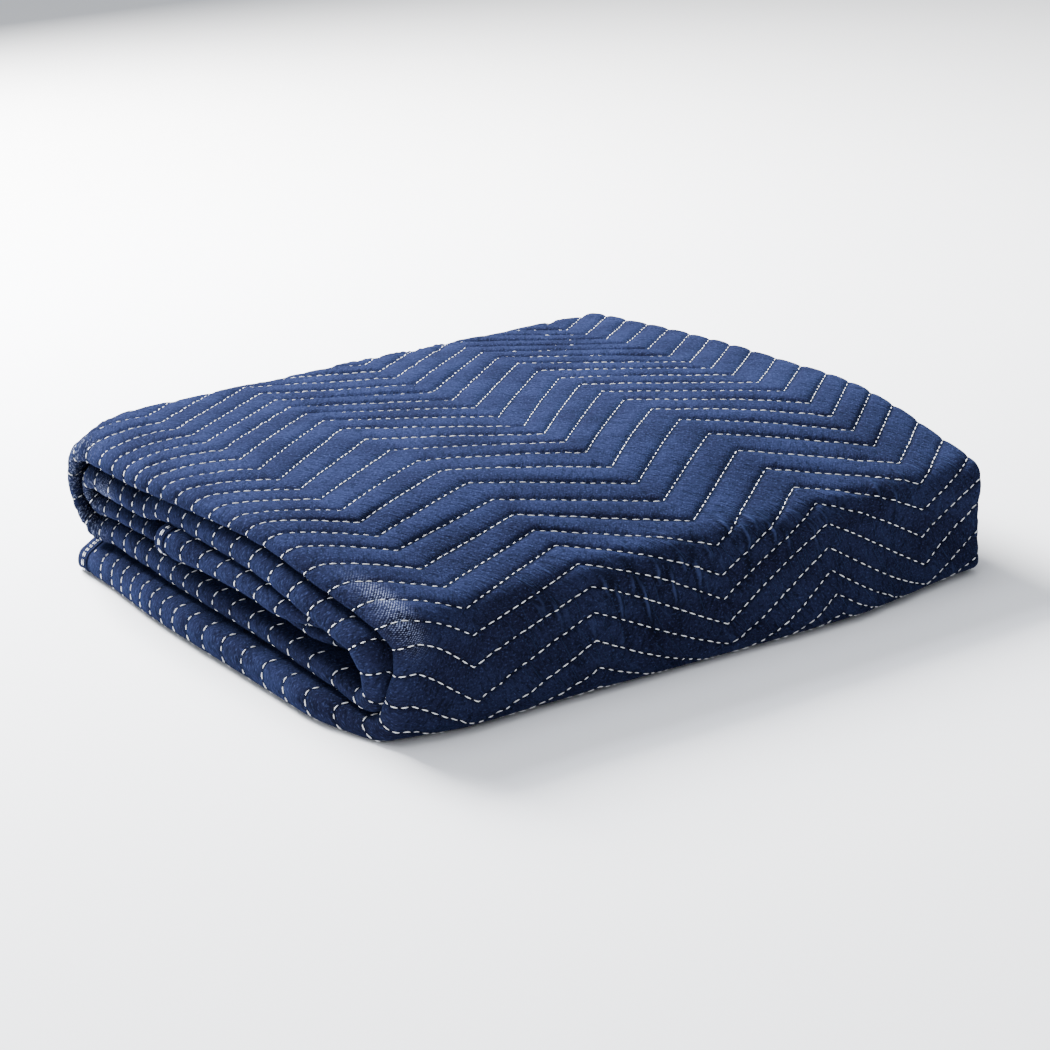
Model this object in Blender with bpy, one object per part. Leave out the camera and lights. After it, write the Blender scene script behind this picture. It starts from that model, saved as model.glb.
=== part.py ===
"""A quilted moving blanket, folded in thirds along its length and wound flat into a stack.

Metres, +Z up. +X runs along the bends of the winding, +Y from the front bend to the back bend,
and the origin is on the floor under the middle of the stack.

The blanket is one sheet. Across its width it is folded in thirds into a strip of three plies:
the inner ply, a rounded nose at the near edge (-X), the outer ply, a fold at the far edge (+X)
and the middle ply, whose free edge lies inside the nose. Along its length the strip is wound in
six passes, from an end on the floor to an end in the middle of the stack.
"""

import math
from typing import NamedTuple

import bmesh
import bpy

# the cloth and its strip of three plies
PLY = 0.0052
PLY_PITCH = 0.0069
STRIP_WIDTH = 0.610
STRIP_THICKNESS = 2 * PLY_PITCH + PLY
NOSE_CENTRE_X = -STRIP_WIDTH / 2 + PLY_PITCH + PLY / 2
FOLD_RADIUS = PLY_PITCH / 2
FOLD_CENTRE_X = STRIP_WIDTH / 2 - FOLD_RADIUS - PLY / 2
INNER_PLY_EDGE_X = STRIP_WIDTH / 2 - 0.006
MIDDLE_PLY_EDGE_X = NOSE_CENTRE_X + 0.003

# the winding: a row for each pass, from the end on the floor to the end inside
PASS_PITCH = 0.0217
FRONT_Y = -0.2275
BACK_Y = 0.2385
INNER_RING_Y = FRONT_Y + 0.012
INNER_END_Y = 0.062
PASSES = (
    # name, level above the floor, y where it starts, y where it ends, sideways shift,
    # and how far it rises (or sags) behind the inner end
    ("outer end", 0, 0.281, FRONT_Y, -0.005, 0.000),
    ("top", 5, FRONT_Y, BACK_Y, 0.000, 0.000),
    ("second", 1, BACK_Y, FRONT_Y, 0.010, 0.003),
    ("third", 4, FRONT_Y, BACK_Y, 0.005, -0.007),
    ("fourth", 2, BACK_Y, INNER_RING_Y, 0.014, 0.004),
    ("inner end", 3, INNER_RING_Y, INNER_END_Y, 0.001, 0.000),
)
SAG_START_Y = INNER_END_Y + 0.005
SAG_END_Y = INNER_END_Y + 0.065

# the quilting: rows of zigzag stitching that run across the strip
ROW_PITCH = 0.0292
ROW_ORIGIN_Y = -0.0545
FACE_LINES = 3
NOSE_LINES = 2
GROOVE_DEPTH = 0.0014
PUFF_HEIGHT = 0.0012
NOSE_PUFF = 0.45
ZIGZAG = (
    # x across the outer ply, how far the row is shifted along the strip
    (-0.450, -0.015),
    (-0.340, 0.055),
    (-0.225, 0.000),
    (-0.111, 0.052),
    (0.012, -0.023),
    (0.124, 0.058),
    (0.236, -0.020),
    (0.345, 0.058),
)
ZIGZAG_REACH = 0.070
COLUMN_STEP = 0.036
ROW_FOLLOWING = 0.98

# the bindings sewn over the two ends, where the plies are pressed thin
BINDING_WIDTH = 0.019
BINDING_THICKNESS = 0.0009
CLEARANCE = 0.0003
PRESSED_PLY = 0.0024
PRESSED_LENGTH = BINDING_WIDTH + 0.002
RAMP_LENGTH = 0.010

# how the soft stack has settled out of square
HALF_WIDTH = STRIP_WIDTH / 2
STACK_TOP = STRIP_THICKNESS + 5 * PASS_PITCH
CREASE_X = -0.225
FOOT_X = 0.124
CREASES = (CREASE_X, FOOT_X)
CORNER_IN = 0.054
EDGE_DROOP = 0.03
FRONT_DROOP = 0.27
FRONT_PUSH = 0.067
FRONT_WAIST = 0.037
FOOT = (
    # x across the strip, how far the foot of the front bend stands out
    (-STRIP_WIDTH / 2, 0.006),
    (CREASE_X, 0.014),
    (FOOT_X, 0.026),
    (STRIP_WIDTH / 2, 0.003),
)
FAR_BULGE = 0.030
CENTRE_SHIFT = (-0.0113, 0.0245)
SETTLING = {
    # which part of the stack each change of shape acts on: where it begins, where it is full
    "near corner's y": (-0.06, 0.22),
    "droop's -y": (0.067, 0.295),
    "front push's -y": (-0.126, 0.276),
    "far bulge's x": (0.05, STRIP_WIDTH / 2),
}
BULGE_WAVE = 0.6
BULGE_MEAN = 0.5

# how finely the hidden stretches are divided
BEND_STEP = math.radians(20)
STRAIGHT_STEP = 0.12
NOSE_STEPS = 4
FOLD_STEPS = 3
STATION_GAP = 0.003
QUILT_FADES = (0.02, 0.05)


def smooth(value, start, end):
    """Rise from 0 to 1 as the value goes from start to end."""
    t = min(max((value - start) / (end - start), 0.0), 1.0)
    return t * t * (3 - 2 * t)


def read_off(table, x):
    """The value at x in a table of x and value, straight between its rows and beyond them."""
    for (x0, value0), (x1, value1) in zip(table, table[1:]):
        if x <= x1:
            break
    return value0 + (value1 - value0) * (x - x0) / (x1 - x0)


def level_z(level):
    return STRIP_THICKNESS / 2 + level * PASS_PITCH


class Segment(NamedTuple):
    """A straight or a bend of the winding: its place along it, its start, shifts and sags."""

    start: float
    length: float
    y: float
    z: float
    heading: float
    radius: float
    shifts: tuple
    sags: tuple


def winding():
    """The winding's straights (radius 0) and bends in turn, and its whole length."""
    segments = []
    s = 0.0
    heading = math.pi
    for this, following in zip(PASSES, PASSES[1:] + (None,)):
        _, level, y_start, y_end, shift, sag = this
        z = level_z(level)
        run = abs(y_end - y_start)
        segments.append(Segment(s, run, y_start, z, heading, 0.0, (shift, shift), (sag, sag)))
        s += run
        if following:
            _, next_level, _, _, next_shift, next_sag = following
            radius = abs(level_z(next_level) - z) / 2
            turn = math.pi * radius
            shifts = (shift, next_shift)
            segments.append(
                Segment(s, turn, y_end, z, heading, radius, shifts, (sag, next_sag))
            )
            s += turn
            heading -= math.pi
    return segments, s


SEGMENTS, LENGTH = winding()
FRONT_BEND_START = SEGMENTS[1].start
TOP_START = SEGMENTS[2].start
SECOND_START = SEGMENTS[4].start
QUILT_START = FRONT_BEND_START - ZIGZAG_REACH
QUILT_END = SECOND_START + ZIGZAG_REACH
ROW_ORIGIN = TOP_START + ROW_ORIGIN_Y - FRONT_Y


def settle(x, y, z):
    """Lean and round the squared stack as the soft one has settled. The floor stays flat.

    Across x the plies stay straight but for two creases, so that none cuts into the next.
    """
    height = z / STACK_TOP
    near_edge = max((CREASE_X - x) / (CREASE_X + HALF_WIDTH), 0.0)
    back = smooth(y, *SETTLING["near corner's y"])
    front_droop = FRONT_DROOP * smooth(-y, *SETTLING["droop's -y"])
    waist = FRONT_WAIST * 4 * height * (1 - height)
    foot = read_off(FOOT, x) * (1 - height) ** 2
    front_push = (FRONT_PUSH - waist + foot) * smooth(-y, *SETTLING["front push's -y"])
    bulge = FAR_BULGE * (math.cos(math.pi * y / BULGE_WAVE) - BULGE_MEAN)
    settled_x = x + bulge * smooth(x, *SETTLING["far bulge's x"]) + CENTRE_SHIFT[0]
    settled_y = y - front_push - CORNER_IN * near_edge * back + CENTRE_SHIFT[1]
    settled_z = z * (1 - EDGE_DROOP * near_edge - front_droop)
    return settled_x, settled_y, settled_z


def place(s, x, offset):
    """The point at s along the winding, x across the strip and offset out from its middle."""
    s_in = min(max(s, 0.0), LENGTH)
    for part in SEGMENTS:
        if s_in <= part.start + part.length:
            break
    along = s - part.start
    y, z, angle = part.y, part.z, part.heading
    if part.radius:
        angle -= along / part.radius
        y += part.radius * (math.sin(part.heading) - math.sin(angle))
        z += part.radius * (math.cos(angle) - math.cos(part.heading))
    else:
        y += along * math.cos(angle)
    y -= offset * math.sin(angle)
    z += offset * math.cos(angle)
    t = smooth(along, 0.0, part.length)
    shift = part.shifts[0] + (part.shifts[1] - part.shifts[0]) * t
    sag = part.sags[0] + (part.sags[1] - part.sags[0]) * t
    return settle(x + shift, y, z + sag * smooth(y, SAG_START_Y, SAG_END_Y))


def sheet_path():
    """The sheet's middle line across the strip: x, offset, heading and unrolled x."""
    path = [(x, -PLY_PITCH, math.pi, None) for x in (INNER_PLY_EDGE_X, FOOT_X, CREASE_X)]
    for i in range(NOSE_STEPS + 1):
        turn = math.pi * i / NOSE_STEPS
        unrolled = NOSE_CENTRE_X - PLY_PITCH * (math.pi - turn)
        path.append(
            (
                NOSE_CENTRE_X - PLY_PITCH * math.sin(turn),
                -PLY_PITCH * math.cos(turn),
                math.pi - turn,
                unrolled,
            )
        )
    for x in outer_ply_columns():
        path.append((x, PLY_PITCH, 0.0, x))
    for i in range(FOLD_STEPS + 1):
        turn = math.pi * i / FOLD_STEPS
        path.append(
            (
                FOLD_CENTRE_X + FOLD_RADIUS * math.sin(turn),
                PLY_PITCH - FOLD_RADIUS + FOLD_RADIUS * math.cos(turn),
                -turn,
                FOLD_CENTRE_X + FOLD_RADIUS * turn,
            )
        )
    path += [(x, 0.0, -math.pi, None) for x in (FOOT_X, CREASE_X, MIDDLE_PLY_EDGE_X)]
    return path


def outer_ply_columns():
    """Places across the outer ply: the creases, each zigzag corner, and steps between."""
    corners = [x for x, _ in ZIGZAG if NOSE_CENTRE_X < x < FOLD_CENTRE_X]
    stops = sorted({NOSE_CENTRE_X, *CREASES, FOLD_CENTRE_X, *corners})
    columns = []
    for start, end in zip(stops, stops[1:]):
        steps = math.ceil((end - start) / COLUMN_STEP)
        columns += [start + (end - start) * i / steps for i in range(steps)]
    return columns[1:]


def half_ply(s):
    """Half the ply's thickness, pressed thin under the end bindings."""
    from_end = min(s, LENGTH - s)
    pressed = smooth(from_end, PRESSED_LENGTH, PRESSED_LENGTH + RAMP_LENGTH)
    return (PRESSED_PLY + (PLY - PRESSED_PLY) * pressed) / 2


def plain_stations():
    """Places along the winding that its bends, its sags and the thinned ends need."""
    stations = [PRESSED_LENGTH, PRESSED_LENGTH + RAMP_LENGTH]
    stations += [LENGTH - value for value in stations] + [0.0, LENGTH]
    for part in SEGMENTS:
        steps = math.ceil(part.length / STRAIGHT_STEP)
        if part.radius:
            steps = round(math.pi / BEND_STEP)
        elif any(part.sags):
            stations += [part.start + abs(y - part.y) for y in (SAG_START_Y, SAG_END_Y)]
        for i in range(0 if part.start else 1, steps):
            stations.append(part.start + part.length * i / steps)
    return sorted(stations)


def quilted_keys(lines):
    """The lines along the rows: a groove at each stitched row, and the puff between two."""
    step = ROW_PITCH / lines
    first = math.ceil((-ROW_ORIGIN - ZIGZAG_REACH) / step)
    last = math.floor((LENGTH + ZIGZAG_REACH - ROW_ORIGIN) / step)
    return [(i % lines == 0, ROW_ORIGIN + i * step) for i in range(first, last + 1)]


class Column:
    """One line of points along the winding, on one side of the sheet."""

    def __init__(self, x, offset, direction, unrolled, kind):
        self.x = x
        self.offset = offset
        self.direction = direction
        self.kind = kind
        self.shift = read_off(ZIGZAG, unrolled) if unrolled is not None else 0.0
        self.points = self.stations()

    def stations(self):
        """Each point's place along the winding, and how far it is raised."""
        ends_in = PRESSED_LENGTH + RAMP_LENGTH
        plain = [(s, 0.0) for s in plain_stations()]
        if self.kind == "plain":
            return plain
        start, end = {
            "nose": (ends_in, LENGTH - ends_in),
            "edge": (QUILT_START + self.shift, QUILT_END + self.shift),
            "face": (QUILT_START + self.shift, QUILT_END + self.shift),
        }[self.kind]
        quilted = []
        for is_groove, key in quilted_keys(NOSE_LINES if self.kind == "nose" else FACE_LINES):
            s = key + self.shift
            if start < s < end:
                quilted.append((s, self.raised(s, is_groove)))
        if self.kind == "face":
            return quilted
        before = [p for p in plain if p[0] < quilted[0][0] - STATION_GAP]
        after = [p for p in plain if p[0] > quilted[-1][0] + STATION_GAP]
        return before + quilted + after

    def raised(self, s, is_groove):
        """Puffs and grooves, but not where the cloth lies on the floor or on the next pass."""
        height = -GROOVE_DEPTH if is_groove else PUFF_HEIGHT
        if self.kind == "nose":
            on_floor = math.sin(max(math.atan2(self.direction[1], -self.direction[0]), 0.0))
            keep = 1.0 if s > TOP_START else 1.0 - on_floor
            return height * NOSE_PUFF * keep
        rise = smooth(s - FRONT_BEND_START, *QUILT_FADES)
        fall = smooth(SECOND_START - s, -QUILT_FADES[1] + QUILT_FADES[0], 0.0)
        return height * rise * fall

    def make(self, mesh):
        """Add the column's points to the mesh."""
        dx, dn = self.direction
        self.verts = []
        for s, raised in self.points:
            out = half_ply(s) + raised
            spot = place(s, self.x + out * dx, self.offset + out * dn)
            self.verts.append((s, mesh.verts.new(spot)))


def lace(mesh, first, second):
    """Join two lines of points, each with its sorting value, by a band of triangles."""
    i = j = 0
    while i + 1 < len(first) or j + 1 < len(second):
        step_first = j + 1 == len(second)
        if i + 1 < len(first) and j + 1 < len(second):
            middle_first = first[i][0] + first[i + 1][0]
            middle_second = second[j][0] + second[j + 1][0]
            step_first = middle_first < middle_second
        if step_first:
            mesh.faces.new((first[i][1], first[i + 1][1], second[j][1]))
            i += 1
        else:
            mesh.faces.new((first[i][1], second[j + 1][1], second[j][1]))
            j += 1


def outline():
    """The columns around the folded sheet: outer side, a free edge, inner side, the other."""
    outer = []
    inner = []
    faces = set(outer_ply_columns())
    for x, offset, heading, unrolled in sheet_path():
        normal = (-math.sin(heading), math.cos(heading))
        if unrolled is None:
            kind = "plain"
        elif x in faces and x not in CREASES:
            kind = "face"
        elif x < CREASE_X:
            kind = "nose"
        else:
            kind = "edge"
        outer.append(Column(x, offset, normal, unrolled, kind))
        if kind != "face":
            inner.append(Column(x, offset, (-normal[0], -normal[1]), unrolled, "plain"))
    middle_edge = [
        Column(MIDDLE_PLY_EDGE_X, 0.0, (math.cos(a), math.sin(a)), None, "plain")
        for a in (-0.75 * math.pi, math.pi, 0.75 * math.pi)
    ]
    inner_edge = [
        Column(INNER_PLY_EDGE_X, -PLY_PITCH, (math.cos(a), math.sin(a)), None, "plain")
        for a in (0.25 * math.pi, 0.0, -0.25 * math.pi)
    ]
    return outer + middle_edge + inner[::-1] + inner_edge


def keyed(column, shifted, start=-1.0, end=1e9):
    """A column's points from start to end, sorted by row if shifted, or else by place.

    Rows are followed a little short, so that the triangles split along the bends' axis.
    """
    shift = column.shift * ROW_FOLLOWING if shifted else 0.0
    return [(s - shift, vert) for s, vert in column.verts if start <= s - column.shift <= end]


def blanket_mesh():
    """The whole folded sheet as one closed surface."""
    mesh = bmesh.new()
    columns = outline()
    for column in columns:
        column.make(mesh)
    for column, following in zip(columns, columns[1:] + columns[:1]):
        if "face" in (column.kind, following.kind):
            lace(
                mesh,
                keyed(column, True, QUILT_START, QUILT_END),
                keyed(following, True, QUILT_START, QUILT_END),
            )
        else:
            shifted = column.kind != "plain" and following.kind != "plain"
            lace(mesh, keyed(column, shifted), keyed(following, shifted))
    faces = [i for i, column in enumerate(columns) if column.kind == "face"]
    across = columns[faces[0] - 1 : faces[-1] + 2]
    close_hidden_face(mesh, across)
    for end in (0, -1):
        mesh.faces.new([column.verts[end][1] for column in columns if column.kind != "face"])
    bmesh.ops.recalc_face_normals(mesh, faces=mesh.faces)
    bmesh.ops.triangulate(mesh, faces=mesh.faces)
    return mesh


def close_hidden_face(mesh, across):
    """Lay the outer ply's face before and after its quilted stretch as plain cloth."""
    plain = [column for column in across if column.kind != "face"]
    for limits, border_row, next_row in (((-1.0, QUILT_START), 0, -1), ((QUILT_END, 1e9), -1, 0)):
        border = [
            (column.x, keyed(column, False, QUILT_START, QUILT_END)[border_row][1])
            for column in across
        ]
        sides = [keyed(column, False, *limits) for column in plain]
        for side, following in zip(sides, sides[1:]):
            lace(mesh, side, following)
        lace(mesh, border, [(c.x, side[next_row][1]) for c, side in zip(plain, sides)])


def binding_mesh(at_start):
    """A strip folded over one bound end of the sheet: a U-shaped channel along its folds."""
    inner_half = PRESSED_PLY / 2 + CLEARANCE
    outer_half = inner_half + BINDING_THICKNESS
    section = (
        (BINDING_WIDTH, outer_half),
        (-CLEARANCE - BINDING_THICKNESS, outer_half),
        (-CLEARANCE - BINDING_THICKNESS, -outer_half),
        (BINDING_WIDTH, -outer_half),
        (BINDING_WIDTH, -inner_half),
        (-CLEARANCE, -inner_half),
        (-CLEARANCE, inner_half),
        (BINDING_WIDTH, inner_half),
    )
    mesh = bmesh.new()
    rings = []
    for x, offset, heading, _ in sheet_path():
        ring = []
        for along, out in section:
            s = along if at_start else LENGTH - along
            spot = place(s, x - out * math.sin(heading), offset + out * math.cos(heading))
            ring.append(mesh.verts.new(spot))
        rings.append(ring)
    for ring, following in zip(rings, rings[1:]):
        for i in range(len(section)):
            j = (i + 1) % len(section)
            mesh.faces.new((ring[i], ring[j], following[j], following[i]))
    mesh.faces.new(rings[0])
    mesh.faces.new(rings[-1])
    bmesh.ops.recalc_face_normals(mesh, faces=mesh.faces)
    bmesh.ops.triangulate(mesh, faces=mesh.faces)
    return mesh


def material(name, colour, roughness):
    made = bpy.data.materials.new(name)
    made.use_nodes = True
    shader = made.node_tree.nodes["Principled BSDF"]
    shader.inputs["Base Color"].default_value = (*colour, 1.0)
    shader.inputs["Roughness"].default_value = roughness
    shader.inputs["Metallic"].default_value = 0.0
    return made


def add(name, mesh, finish, collection):
    data = bpy.data.meshes.new(name)
    mesh.to_mesh(data)
    mesh.free()
    data.materials.append(finish)
    data.shade_smooth()
    data.set_sharp_from_angle(angle=math.radians(40))
    made = bpy.data.objects.new(name, data)
    collection.objects.link(made)
    return made


def main():
    for existing in list(bpy.data.objects):
        bpy.data.objects.remove(existing, do_unlink=True)
    collection = bpy.data.collections.new("moving blanket")
    bpy.context.scene.collection.children.link(collection)
    cloth = material("blanket cloth", (0.028, 0.055, 0.130), 0.85)
    add("blanket", blanket_mesh(), cloth, collection)
    for name, at_start in (("binding_outer_end", True), ("binding_inner_end", False)):
        tape = material(name.replace("_", " "), (0.022, 0.045, 0.110), 0.80)
        add(name, binding_mesh(at_start), tape, collection)


main()
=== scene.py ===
# %% [markdown]
# A quilted moving blanket, folded in thirds and wound flat into a stack.
#
# The real thing is one sheet of two woven polyester faces over a thin recycled filling, held
# together by white zigzag rows of stitching and bound at its two ends. This lesson lays that
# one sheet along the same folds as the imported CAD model, then gives it what the CAD leaves
# out: fine puffs, puckers and crumples, thread, sewn bindings, and a finish of woven cloth.

import math
from functools import partial
from typing import NamedTuple

import bmesh
import bpy
from mathutils import Matrix, Vector, noise


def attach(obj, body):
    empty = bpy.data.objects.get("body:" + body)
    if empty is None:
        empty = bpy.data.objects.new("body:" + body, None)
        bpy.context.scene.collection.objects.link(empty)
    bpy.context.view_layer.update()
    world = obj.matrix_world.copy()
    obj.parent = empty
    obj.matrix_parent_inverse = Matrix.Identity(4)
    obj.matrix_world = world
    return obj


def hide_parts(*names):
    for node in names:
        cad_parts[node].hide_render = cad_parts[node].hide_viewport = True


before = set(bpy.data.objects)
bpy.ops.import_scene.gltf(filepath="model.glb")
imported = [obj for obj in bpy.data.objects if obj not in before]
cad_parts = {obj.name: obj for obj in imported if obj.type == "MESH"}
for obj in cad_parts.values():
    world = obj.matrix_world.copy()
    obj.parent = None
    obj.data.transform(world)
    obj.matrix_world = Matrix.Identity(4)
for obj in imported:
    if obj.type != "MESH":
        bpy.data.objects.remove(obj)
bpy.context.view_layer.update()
scene = bpy.context.scene

# %% [markdown]
# The camera comes first, because what it sees decides how fine each piece has to be. Its
# place, its turn and its lens were fitted to the photograph's outline and stitched rows, so
# it looks along the stack's near corner from about 19 degrees above the floor.

# %% Set up the camera
PHOTO_PIXELS = 1050
FOCAL_PIXELS = 2500
SENSOR_MM = 36
CAMERA_PLACE = Vector((-1.1358, -1.7785, 0.7411))
CAMERA_ANGLES = (0.5719, 0.3248, -0.0500)


def camera_turn(yaw, pitch, roll):
    """The camera's rotation: yaw to the right of +Y, pitch down, roll about its view."""
    level = math.cos(pitch)
    ahead = Vector((math.sin(yaw) * level, math.cos(yaw) * level, -math.sin(pitch)))
    level_right = Vector((math.cos(yaw), -math.sin(yaw), 0.0))
    level_up = level_right.cross(ahead)
    right = level_right * math.cos(roll) + level_up * math.sin(roll)
    up = level_up * math.cos(roll) - level_right * math.sin(roll)
    return Matrix((right, up, -ahead)).transposed()


camera_data = bpy.data.cameras.new("camera")
camera_data.sensor_width = SENSOR_MM
camera_data.lens = FOCAL_PIXELS / PHOTO_PIXELS * SENSOR_MM
camera = bpy.data.objects.new("camera", camera_data)
turn = camera_turn(*CAMERA_ANGLES).to_4x4()
camera.matrix_world = Matrix.Translation(CAMERA_PLACE) @ turn
scene.collection.objects.link(camera)
scene.camera = camera
print("lens", round(camera_data.lens, 2), "mm")

# %% [markdown]
# The sheet is folded in thirds across its width into a strip of three plies, and the strip is
# wound in six passes. The sizes below are the CAD model's own, so the cloth made here lies in
# the space that its solid holds. A cloth simulation could drape a sheet, but not wind one so
# exactly, so the winding is a path of straights and bends that every point is placed on.

# %% The strip and its winding
PLY = 0.0052
PLY_PITCH = 0.0069
STRIP_WIDTH = 0.610
HALF_WIDTH = STRIP_WIDTH / 2
STRIP_THICKNESS = 2 * PLY_PITCH + PLY
NOSE_CENTRE_X = -HALF_WIDTH + PLY_PITCH + PLY / 2
FOLD_RADIUS = PLY_PITCH / 2
FOLD_CENTRE_X = HALF_WIDTH - FOLD_RADIUS - PLY / 2
INNER_PLY_EDGE_X = HALF_WIDTH - 0.006
MIDDLE_PLY_EDGE_X = NOSE_CENTRE_X + 0.003

PASS_PITCH = 0.0217
FRONT_Y = -0.2275
BACK_Y = 0.2385
INNER_RING_Y = FRONT_Y + 0.012
INNER_END_Y = 0.062
PASSES = (
    # name, level above the floor, y where it starts, y where it ends, sideways shift,
    # and how far it rises (or sags) behind the inner end
    ("outer end", 0, 0.281, FRONT_Y, -0.005, 0.000),
    ("top", 5, FRONT_Y, BACK_Y, 0.000, 0.000),
    ("second", 1, BACK_Y, FRONT_Y, 0.010, 0.003),
    ("third", 4, FRONT_Y, BACK_Y, 0.005, -0.007),
    ("fourth", 2, BACK_Y, INNER_RING_Y, 0.014, 0.004),
    ("inner end", 3, INNER_RING_Y, INNER_END_Y, 0.001, 0.000),
)
SAG_START_Y = INNER_END_Y + 0.005
SAG_END_Y = INNER_END_Y + 0.065


def smooth(value, start, end):
    """Rise from 0 to 1 as the value goes from start to end."""
    t = min(max((value - start) / (end - start), 0.0), 1.0)
    return t * t * (3 - 2 * t)


def read_off(table, x, rounded=False):
    """The value at x in a table of x and value, straight or rounded between its rows."""
    for (x0, value0), (x1, value1) in zip(table, table[1:]):
        if x <= x1:
            break
    t = smooth(x, x0, x1) if rounded else (x - x0) / (x1 - x0)
    return value0 + (value1 - value0) * t


class Segment(NamedTuple):
    """A straight or a bend of the winding: its place along it, its start, shifts and sags."""

    start: float
    length: float
    y: float
    z: float
    heading: float
    radius: float
    shifts: tuple
    sags: tuple


def level_z(level):
    return STRIP_THICKNESS / 2 + level * PASS_PITCH


def winding():
    """The winding's straights (radius 0) and bends in turn, and its whole length."""
    segments = []
    s = 0.0
    heading = math.pi
    for this, following in zip(PASSES, PASSES[1:] + (None,)):
        _, level, y_start, y_end, shift, sag = this
        z = level_z(level)
        run = abs(y_end - y_start)
        segments.append(Segment(s, run, y_start, z, heading, 0.0, (shift, shift), (sag, sag)))
        s += run
        if following:
            radius = abs(level_z(following[1]) - z) / 2
            turn = math.pi * radius
            shifts, sags = (shift, following[4]), (sag, following[5])
            segments.append(Segment(s, turn, y_end, z, heading, radius, shifts, sags))
            s += turn
            heading -= math.pi
    return segments, s


SEGMENTS, LENGTH = winding()
FRONT_BEND, BACK_BEND, INNER_BACK_BEND = SEGMENTS[1], SEGMENTS[3], SEGMENTS[7]
STARTS = [part.start for part in SEGMENTS]
TOP_START, SECOND_START = STARTS[2], STARTS[4]
print("sheet is", round(LENGTH, 3), "m long in", len(SEGMENTS), "straights and bends")

# %% [markdown]
# A soft stack doesn't stay square. The photographed one slopes down to its front, its front
# bend bulges high and low with a waist between, the foot of it stands out, the near back
# corner is drawn in and the far edge is full in its middle. One function moves every point
# of the squared stack this way, so that plies that were apart stay apart. Two tables make
# the near edge's folds uneven: how high each pass lies there, and how far it is drawn in.

# %% Let the squared stack settle
STACK_TOP = STRIP_THICKNESS + 5 * PASS_PITCH
CREASE_X = -0.225
CORNER_IN = 0.054
CORNER_ROUNDNESS = 1.5
EDGE_DROOP = 0.060
EDGE_ROUNDNESS = 1.8
FRONT_DROOP = 0.27
FRONT_PUSH = 0.067
FRONT_WAIST = 0.037
FOOT = (
    # x across the strip, how far the foot of the front bend stands out
    (-HALF_WIDTH, -0.004),
    (CREASE_X, 0.014),
    (0.124, 0.026),
    (HALF_WIDTH, 0.003),
)
FAR_BULGE = 0.030
BULGE_WAVE = 0.6
BULGE_MEAN = 0.5
CENTRE_SHIFT = (-0.0113, 0.0245)
CORNER_RANGE = (-0.06, 0.22)
DROOP_RANGE = (0.067, 0.295)
PUSH_RANGE = (-0.126, 0.276)
FAR_BULGE_RANGE = (0.05, HALF_WIDTH)
NOSE_HEIGHTS = (
    # the squared stack's height, and the height that it has at the near edge, where the
    # lowest fold is plump and the one above the second is squeezed flat
    (0.0000, 0.0000),
    (0.0203, 0.0285),
    (0.0420, 0.0505),
    (0.0638, 0.0650),
    (0.0855, 0.0855),
    (0.1300, 0.1300),
)
NEAR_EDGE_RANGE = (0.200, 0.288)
EVEN_AT_FRONT = (0.180, 0.245)
EVEN_AT_BACK = (0.190, 0.270)
OUTER_END_CUT = 0.012
CUT_RANGE = (0.0, 0.15)
NEAR_EDGE = (
    # s along the sheet, how far the near edge is drawn in, and how thick its fold is
    # there against the rest of the strip
    (0.000, 0.000, 1.0),
    (0.250, -0.008, 1.0),
    (STARTS[1] - 0.06, -0.008, 1.0),
    (STARTS[1] + 0.05, 0.014, 1.0),
    (STARTS[1] + 0.12, 0.022, 0.85),
    (TOP_START, 0.016, 0.75),
    (TOP_START + 0.09, 0.010, 0.72),
    (TOP_START + 0.38, 0.000, 0.80),
    (STARTS[3], 0.000, 0.85),
    (SECOND_START, 0.000, 1.0),
    (SECOND_START + 0.10, -0.003, 1.0),
    (SECOND_START + 0.40, -0.006, 1.0),
    (STARTS[5], -0.002, 1.0),
    (STARTS[6], -0.002, 1.2),
    (STARTS[6] + 0.20, 0.002, 1.2),
    (STARTS[6] + 0.36, 0.002, 1.0),
    (STARTS[9] - 0.06, 0.004, 1.0),
    (STARTS[9], 0.024, 0.8),
    (STARTS[9] + 0.045, 0.024, 0.8),
    (STARTS[9] + 0.12, 0.000, 1.0),
    (LENGTH - 0.10, -0.001, 1.0),
    (LENGTH - 0.02, -0.007, 1.3),
    (LENGTH, -0.007, 1.3),
)
DRAWS = [(s, draw) for s, draw, _ in NEAR_EDGE]
FOLDS = [(s, thickness) for s, _, thickness in NEAR_EDGE]


def settle(x, y, z):
    """Lean and round the squared stack as the soft one has settled."""
    height = z / STACK_TOP
    uneven = smooth(-x, *NEAR_EDGE_RANGE) * (1 - smooth(-y, *EVEN_AT_FRONT))
    uneven *= 1 - smooth(y, *EVEN_AT_BACK)
    z += (read_off(NOSE_HEIGHTS, z) - z) * uneven
    near_edge = max((CREASE_X - x) / (CREASE_X + HALF_WIDTH), 0.0)
    drawn_in = CORNER_IN * near_edge**CORNER_ROUNDNESS * smooth(y, *CORNER_RANGE)
    droop = EDGE_DROOP * near_edge**EDGE_ROUNDNESS + FRONT_DROOP * smooth(-y, *DROOP_RANGE)
    waist = FRONT_WAIST * 4 * height * (1 - height)
    foot = read_off(FOOT, x, rounded=True) * (1 - height) ** 2
    push = (FRONT_PUSH - waist + foot) * smooth(-y, *PUSH_RANGE)
    bulge = FAR_BULGE * (math.cos(math.pi * y / BULGE_WAVE) - BULGE_MEAN)
    settled_x = x + bulge * smooth(x, *FAR_BULGE_RANGE) + CENTRE_SHIFT[0]
    return settled_x, y - push - drawn_in + CENTRE_SHIFT[1], max(z * (1 - droop), 0.0)


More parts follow.
